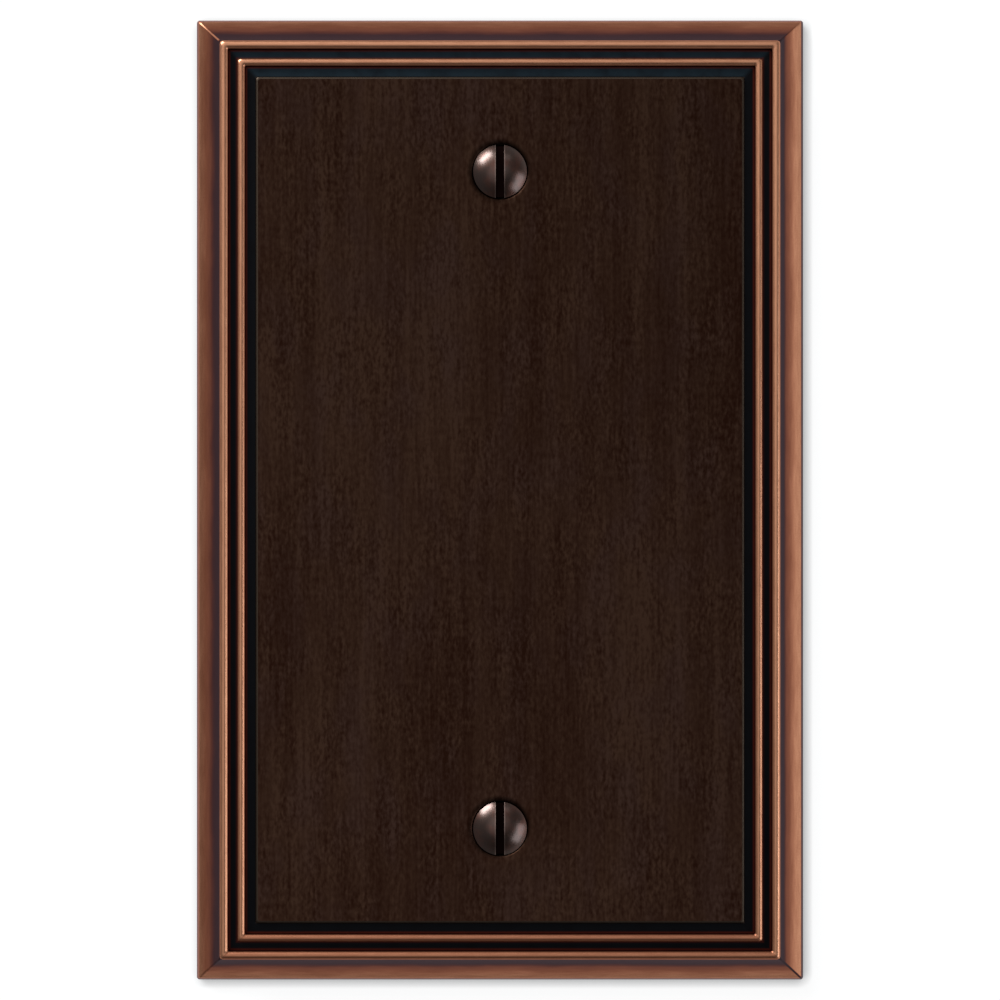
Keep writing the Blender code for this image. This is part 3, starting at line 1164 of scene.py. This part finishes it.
@dataclass
class CoverPlate:
    """The cast plate with its stepped border, flat panel, countersunk seats and hollow back."""

    border: BorderShape
    hollow_ceiling: float = 3.40 * MM
    rim_land: float = 1.80 * MM
    hollow_corner: float = 0.50 * MM
    edge_ease: float = 0.10 * MM
    boss_radius: float = 5.00 * MM
    boss_back: float = 1.40 * MM
    boss_fillet: float = 0.40 * MM
    seat_radius: float = 3.49 * MM
    seat_roll: float = 0.80 * MM
    seat_dip: float = 0.26 * MM
    seat_height: float = 5.05 * MM
    hole_radius: float = 2.15 * MM
    seat_slope: float = math.tan(math.radians(41))
    flat_margin: float = 0.02 * MM
    pin_mark_radius: float = 2.00 * MM
    pin_mark_depth: float = 0.12 * MM
    pin_marks: tuple[tuple[float, float], ...] = field(
        default_factory=lambda: tuple((side * 20 * MM, up * MM) for side in (-1, 1) for up in (-44, 0, 44))
    )
    steps: int = 96
    pin_mark_steps: int = 40
    roll_steps: int = 12
    ease_steps: int = 3
    fillet_steps: int = 5

    @classmethod
    def from_frame(cls) -> CoverPlate:
        """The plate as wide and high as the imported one."""
        low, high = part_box("cover_plate")
        return cls(BorderShape((high.x - low.x) / 2, (high.z - low.z) / 2))

    def seat_profile(self) -> list[tuple[float, float, PlateFinish]]:
        """The screw hole from the panel to the hollow's ceiling.

        Returns:
            Radius and height of each ring, and the finish of the band before it.
        """
        panel, ceiling, ease = self.border.panel_height, self.hollow_ceiling, self.edge_ease
        rows = [(self.seat_radius + self.seat_roll + self.flat_margin, panel, PlateFinish.PANEL)]
        for out, up in arc((0.0, 0.0), 1.0, 90, 180, self.roll_steps):
            radius = self.seat_radius + self.seat_roll * (1 + out)
            rows.append((radius, panel - self.seat_dip * (1 - up), PlateFinish.PANEL))
        cone_foot = self.seat_height - (self.seat_radius - self.hole_radius) / self.seat_slope
        rows += [
            (self.seat_radius, self.seat_height, PlateFinish.SEAT),
            (self.hole_radius, cone_foot, PlateFinish.SEAT),
            (self.hole_radius, self.boss_back + ease, PlateFinish.SEAT),
            (self.hole_radius + ease, self.boss_back, PlateFinish.BACK),
        ]
        rim = (self.boss_radius - ease, self.boss_back + ease)
        foot = (self.boss_radius + self.boss_fillet, ceiling - self.boss_fillet)
        boss = arc(rim, ease, -90, 0, self.ease_steps)
        boss += arc(foot, self.boss_fillet, 180, 90, self.fillet_steps)
        boss.append((foot[0] + self.flat_margin, ceiling))
        return rows + [(radius, height, PlateFinish.BACK) for radius, height in boss]

    def back_sections(self) -> list[Point]:
        """The back's skin from the hollow's ceiling out round the rim, as inset, height and corner radius."""
        ease = self.edge_ease
        return [
            (self.border.outer_groove_edge + self.flat_margin, self.hollow_ceiling, self.hollow_corner),
            (self.border.outer_groove_edge, self.hollow_ceiling, self.hollow_corner),
            (self.rim_land + ease, ease, self.hollow_corner),
            (self.rim_land, 0.0, self.hollow_corner),
            (ease, 0.0, self.border.corner),
            (0.0, ease, self.border.corner),
        ]

    def mesh(self) -> bpy.types.Mesh:
        """Build the casting as one closed skin.

        Returns:
            The mesh.
        """
        skin = Skin()
        back, front = self.back_sections(), self.border.sections()
        flat = (self.border.width + self.flat_margin, self.border.panel_height, self.border.arris)
        rings = [skin.ring(self.border.outline(*section)) for section in (*back, *front, flat)]
        finishes = [PlateFinish.BACK] * (len(back) - 1) + [PlateFinish.BORDER] * (len(front) + 1)
        skin.loft(rings, finishes)

        holes, bosses = [], []
        for screw in ScrewPlace:
            rows = self.seat_profile()
            axis = (0.0, screw.height)
            turned = [skin.ring(circle(radius, height, self.steps, axis)) for radius, height, _ in rows]
            skin.loft(turned, [finish for _, _, finish in rows[1:]])
            holes.append(turned[0])
            bosses.append(turned[-1])
        for mark in self.pin_marks:
            top = self.hollow_ceiling + self.pin_mark_depth
            inner = self.pin_mark_radius - self.pin_mark_depth / 2
            edge = skin.ring(circle(self.pin_mark_radius, self.hollow_ceiling, self.pin_mark_steps, mark))
            floor = skin.ring(circle(inner, top, self.pin_mark_steps, mark))
            skin.band(edge, floor, PlateFinish.BACK)
            skin.face(floor, PlateFinish.BACK)
            bosses.append(edge)
        skin.sheet(rings[-1], holes, PlateFinish.PANEL)
        skin.sheet(rings[0], bosses, PlateFinish.BACK)
        return skin.mesh("cover_plate_casting")

    def dress(self) -> list[bpy.types.Material]:
        """The plate's finishes, by number."""
        seat = (self.seat_radius, self.seat_radius + self.seat_roll)
        return [
            RubbedBronze().material(self.border),
            BrushedPanel().material(ScrewPlace.UPPER.height, seat),
            OxideSeat().material(),
            CastBack().material(),
        ]

    def build(self) -> bpy.types.Object:
        """Build and dress the plate.

        Returns:
            The piece, which rides on the plate's body.
        """
        piece = show("cover_plate_casting", self.mesh(), self.dress())
        even_normals(piece)
        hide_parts("cover_plate")
        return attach(piece, "plate")


@dataclass
class MountingScrew:
    """One slotted oval-head screw with its thread."""

    place: ScrewPlace
    seed: float
    shape: ScrewShape = field(default_factory=ScrewShape)

    def _thread(self, skin: Skin, top: Ring) -> None:
        """Add the threaded shank: a core with one right-hand ridge wound round it, and a chamfered tip.

        Args:
            skin: The screw's skin.
            top: The ring at which the core leaves the neck.
        """
        shape, around = self.shape, self.shape.steps
        crest = shape.pitch * shape.crest_share
        root = crest + shape.thread_depth * math.tan(shape.flank)
        ridge_profile = (
            (shape.core_radius, -root),
            (shape.thread_radius, -crest),
            (shape.thread_radius, crest),
            (shape.core_radius, root),
        )
        tip_height = shape.edge_height - shape.length
        foot_height = tip_height + shape.tip_chamfer
        lowest = foot_height + root + shape.runout
        turns = int((shape.neck_foot - root - shape.runout - lowest) / shape.pitch)

        ridge = []
        for step in range(turns * around + 1):
            angle = step / around * 2 * math.pi
            across, up = math.cos(angle), math.sin(angle)
            middle = lowest + step / around * shape.pitch
            section = [(radius * across, -(middle + rise), radius * up) for radius, rise in ridge_profile]
            ridge.append(skin.ring(section))
        for before, after in zip(ridge, ridge[1:]):
            for edge in range(len(ridge_profile) - 1):
                skin.face((before[edge], after[edge], after[edge + 1], before[edge + 1]))
        for before, after, above, above_after in zip(ridge, ridge[1:], ridge[around:], ridge[around + 1 :]):
            skin.face((before[-1], after[-1], above_after[0], above[0]))
        skin.face(ridge[0])
        skin.face(ridge[-1])

        foot = skin.ring(circle(shape.core_radius, foot_height, around))
        for step in range(around - 1):
            skin.face((foot[step], foot[step + 1], ridge[step + 1][0], ridge[step][0]))
        start = (foot[0], ridge[0][0], ridge[0][-1], ridge[around][0], ridge[around - 1][0])
        self._fan(skin, foot[-1], start)
        tip = skin.ring(circle(shape.core_radius - shape.tip_chamfer, tip_height, around))
        skin.band(foot, tip)
        skin.face(tip)

        last_turn = ridge[-around - 1 :]
        for step in range(1, around):
            skin.face((last_turn[step][-1], last_turn[step + 1][-1], top[(step + 1) % around], top[step]))
        end = (top[0], ridge[-1][-1], ridge[-1][0], last_turn[0][-1], last_turn[1][-1])
        self._fan(skin, top[1], end)

    @staticmethod
    def _fan(skin: Skin, hub: bmesh.types.BMVert, corners: Sequence[bmesh.types.BMVert]) -> None:
        """Close a gap with triangles.

        Args:
            skin: The screw's skin.
            hub: The point that every triangle has.
            corners: The other points in order.
        """
        for start, end in zip(corners, corners[1:]):
            skin.face((hub, start, end))

    def _blank(self) -> bpy.types.Mesh:
        """The screw before its slot is cut.

        Returns:
            The mesh.
        """
        skin = Skin()
        profile = self.shape.head_profile()
        rings = [skin.ring(circle(radius, height, self.shape.steps)) for radius, height in profile]
        crown = skin.bm.verts.new((0.0, -(self.shape.edge_height + self.shape.dome_height), 0.0))
        self._fan(skin, crown, [*rings[0], rings[0][0]])
        skin.loft(rings, [0] * (len(rings) - 1))
        self._thread(skin, rings[-1])
        return skin.mesh("screw_blank")

    def _slot(self) -> bpy.types.Mesh:
        """The cutter for the straight slot, which stands on end.

        Returns:
            The mesh.
        """
        shape = self.shape
        floor, reach = shape.slot_floor, shape.head_radius * shape.slot_overrun
        half, top = shape.slot_width / 2, floor + 2 * shape.slot_depth
        skin = Skin()
        corners = ((half, reach), (-half, reach), (-half, -reach), (half, -reach))
        lower, upper = (skin.ring([(x, -height, z) for x, z in corners]) for height in (floor, top))
        skin.band(lower, upper)
        skin.face(lower)
        skin.face(upper)
        return skin.mesh("screw_slot")

    def mesh(self) -> bpy.types.Mesh:
        """Cut the slot and ease its edges.

        Returns:
            The mesh.
        """
        blank = show("screw_blank", self._blank(), [])
        cutter = show("screw_slot", self._slot(), [])
        cut = blank.modifiers.new("slot", "BOOLEAN")
        cut.operation, cut.object, cut.solver = "DIFFERENCE", cutter, "EXACT"
        skin = Skin()
        skin.bm.from_object(blank, bpy.context.evaluated_depsgraph_get())
        for helper in (blank, cutter):
            bpy.data.objects.remove(helper, do_unlink=True)

        half, floor, near = self.shape.slot_width / 2, self.shape.slot_floor, 0.002 * MM
        lips = [
            edge
            for edge in skin.bm.edges
            if all(abs(abs(end.co.x) - half) < near and -end.co.y > floor + near for end in edge.verts)
            and len(edge.link_faces) == 2
            and edge.calc_face_angle() > self.shape.lip_angle
        ]
        bmesh.ops.bevel(
            skin.bm,
            geom=lips,
            offset=self.shape.slot_bevel,
            segments=self.shape.slot_bevel_steps,
            profile=0.5,
            affect="EDGES",
            clamp_overlap=True,
        )
        return skin.mesh(f"{self.place.value}_screw", self.shape.crisp)

    def build(self) -> bpy.types.Object:
        """Build and dress the screw.

        Returns:
            The piece, which rides on the screw's body.
        """
        name = f"{self.place.value}_screw"
        piece = show(f"{name}_slotted", self.mesh(), [ScrewBronze().material(self.shape, self.seed)])
        piece.location = (0.0, 0.0, self.place.height)
        even_normals(piece)
        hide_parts(name)
        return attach(piece, name)


@dataclass
class CaptiveWasher:
    """One moulded nylon washer that keeps its screw in the plate."""

    place: ScrewPlace
    inner_radius: float = 2.05 * MM
    outer_radius: float = 3.75 * MM
    back: float = 0.30 * MM
    thickness: float = 0.80 * MM
    round_edge: float = 0.18 * MM
    edge_steps: int = 5
    steps: int = 72

    def mesh(self) -> bpy.types.Mesh:
        """Turn the washer's rounded section.

        Returns:
            The mesh.
        """
        front, ease = self.back + self.thickness, self.round_edge
        section: Profile = []
        corners = (
            (self.outer_radius - ease, front - ease, 90, 0),
            (self.outer_radius - ease, self.back + ease, 0, -90),
            (self.inner_radius + ease, self.back + ease, 270, 180),
            (self.inner_radius + ease, front - ease, 180, 90),
        )
        for radius, height, start, end in corners:
            section += arc((radius, height), ease, start, end, self.edge_steps)
        skin = Skin()
        rings = [skin.ring(circle(radius, height, self.steps)) for radius, height in section]
        skin.loft([*rings, rings[0]], [0] * len(rings))
        return skin.mesh(f"{self.place.value}_washer")

    def build(self) -> bpy.types.Object:
        """Build and dress the washer.

        Returns:
            The piece, which rides on the washer's body.
        """
        name = f"{self.place.value}_washer"
        piece = show(f"{name}_ring", self.mesh(), [NaturalNylon().material()])
        piece.location = (0.0, 0.0, self.place.height)
        even_normals(piece)
        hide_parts(name)
        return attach(piece, name)


@dataclass(frozen=True)
class Softbox:
    """One soft studio lamp, aimed at the middle of the plate and set along a circle round the view axis."""

    name: str
    direction: Point
    distance: float
    along: float
    across: float
    radiance: float
    colour: Colour = (1.0, 1.0, 1.0)

    def build(self) -> bpy.types.Object:
        """Hang the lamp.

        Returns:
            The lamp.
        """
        lamp = bpy.data.lights.new(self.name, "AREA")
        lamp.shape = "RECTANGLE"
        lamp.size, lamp.size_y = self.along, self.across
        lamp.energy = self.radiance * math.pi * self.along * self.across
        lamp.color = self.colour
        piece = bpy.data.objects.new(self.name, lamp)
        away = Vector(self.direction).normalized()
        round_axis = Vector((0.0, -1.0, 0.0)).cross(away).normalized()
        piece.matrix_world = Matrix((round_axis, away.cross(round_axis), away)).transposed().to_4x4()
        piece.location = away * self.distance
        bpy.context.scene.collection.objects.link(piece)
        return piece


@dataclass
class Studio:
    """The pale backdrop that the plate lies against, soft lamps, the room's light and the camera."""

    camera_distance: float = 0.300
    lens: float = 83.65
    sensor: float = 36.0
    clip: Span = (0.01, 10.0)
    backdrop_half: float = 1.5
    backdrop_gap: float = 0.05 * MM
    backdrop_grey: float = 0.18
    backdrop_glow: float = 0.87
    shade_reach: float = 1.45 * MM
    shade_from: Point = (-0.47, -0.75, 0.47)
    room_dim: float = 0.20
    room_dim_lift: float = 0.16
    room_dim_right: float = -0.14
    room_dimmest: float = 0.05
    room_sides: float = 0.34
    room_front: float = 0.72
    room_front_lift: float = 1.20
    room_front_right: float = -1.00
    room_back: float = 0.60
    room_right: float = 0.54
    room_lift: float = -0.02
    room_least: float = 0.24
    front_cone: Span = (0.80, 0.97)
    side_band: Span = (0.22, 0.60)
    back_cone: Span = (0.25, 0.98)
    lamps: tuple[Softbox, ...] = (
        Softbox("key_softbox", (-0.55, -0.52, 0.655), 3.0, 1.50, 0.66, 27.0, (0.94, 1.0, 1.03)),
        Softbox("side_softbox", (0.735, -0.60, -0.31), 3.0, 2.20, 1.10, 3.4, (0.90, 0.98, 1.06)),
        Softbox("top_softbox", (0.00, -0.72, 0.70), 3.0, 2.60, 0.70, 0.85),
    )

    def backdrop(self) -> bpy.types.Object:
        """Set up the backdrop, which is seen only from its front so that the plate's back can be looked at.

        Returns:
            The backdrop.
        """
        half = self.backdrop_half
        skin = Skin()
        corners = ((-half, -half), (half, -half), (half, half), (-half, half))
        skin.face(skin.ring([(across, self.backdrop_gap, up) for across, up in corners]))
        mesh = bpy.data.meshes.new("backdrop")
        skin.bm.to_mesh(mesh)
        skin.bm.free()

        material, sheet = new_material("pale backdrop")
        path = sheet.node("ShaderNodeLightPath").outputs
        behind = Signal(sheet, sheet.node("ShaderNodeNewGeometry").outputs["Backfacing"])
        looked_at = Signal(sheet, path["Is Camera Ray"]) + Signal(sheet, path["Is Glossy Ray"])
        seen = (looked_at + Signal(sheet, path["Is Transmission Ray"])).least(1.0) * (1 - behind)
        grey = (self.backdrop_grey,) * 3
        paper = sheet.node("ShaderNodeBsdfDiffuse", sockets={"Color": grey})
        # Painted shadow: the glow is darkened by ambient occlusion seen along a normal tilted to the upper
        # left, so it falls deepest to the lower right of the plate.
        painted_shadow_settings = {"Distance": self.shade_reach, "Normal": sheet.vector(*self.shade_from)}
        glow_with_painted_shadow = sheet.node("ShaderNodeAmbientOcclusion", sockets=painted_shadow_settings).outputs["Color"]
        glow = sheet.node("ShaderNodeEmission", sockets={"Color": glow_with_painted_shadow, "Strength": self.backdrop_glow})
        lit = sheet.node("ShaderNodeAddShader", sockets={0: paper.outputs[0], 1: glow.outputs[0]})
        clear = sheet.node("ShaderNodeBsdfTransparent")
        sockets = {"Fac": seen, 1: clear.outputs[0], 2: lit.outputs[0]}
        mixed = sheet.node("ShaderNodeMixShader", sockets=sockets)
        sheet.node("ShaderNodeOutputMaterial", sockets={"Surface": mixed.outputs[0]})
        piece = show("backdrop", mesh, [material])
        return piece

    def room(self) -> None:
        """Light the scene from a room that is pale behind the camera and to the right, and dim between."""
        world = bpy.data.worlds.new("pale room")
        world.use_nodes = True
        bpy.context.scene.world = world
        sheet = NodeSheet(world.node_tree)
        x, y, z = sheet.place("Generated")
        ahead = -1.0 * y
        in_front, behind = ahead.ease(*self.front_cone), y.ease(*self.back_cone)
        aside = 1 - ahead.ease(*self.side_band)
        round_plate = (self.room_sides + self.room_right * x + self.room_lift * z).most(self.room_least)
        ahead_level = self.room_front + self.room_front_lift * z + self.room_front_right * x
        between = (self.room_dim + self.room_dim_lift * z + self.room_dim_right * x).most(self.room_dimmest)
        level = between + (ahead_level - between) * in_front + (round_plate - between) * aside
        level = level + (self.room_back - level) * behind
        light = sheet.node("ShaderNodeBackground", sockets={"Color": (1.0, 1.0, 1.0), "Strength": level})
        sheet.node("ShaderNodeOutputWorld", sockets={"Surface": light.outputs[0]})

    def camera(self) -> bpy.types.Object:
        """Set up the camera straight in front of the plate.

        Returns:
            The camera.
        """
        view = bpy.data.cameras.new("front_camera")
        view.lens, view.sensor_width = self.lens, self.sensor
        view.clip_start, view.clip_end = self.clip
        piece = bpy.data.objects.new("front_camera", view)
        piece.location = (0.0, -self.camera_distance, 0.0)
        piece.rotation_euler = (math.pi / 2, 0.0, 0.0)
        bpy.context.scene.collection.objects.link(piece)
        bpy.context.scene.camera = piece
        return piece

    def build(self) -> None:
        """Set up everything round the plate."""
        bpy.context.scene.view_settings.view_transform = "Standard"
        self.room()
        self.backdrop()
        self.camera()
        for lamp in self.lamps:
            lamp.build()


def main() -> None:
    """Build the studio and the plate's pieces in order."""
    logging.basicConfig(level=logging.INFO, format="%(message)s")
    Studio().build()
    pieces = [CoverPlate.from_frame().build()]
    for number, place in enumerate(ScrewPlace):
        pieces.append(CaptiveWasher(place).build())
        pieces.append(MountingScrew(place, seed=SCREW_SEED + SCREW_SEED_STEP * number).build())
    for piece in pieces:
        LOG.info("built %s with %d faces", piece.name, len(piece.data.polygons))


if __name__ == "__main__":
    main()
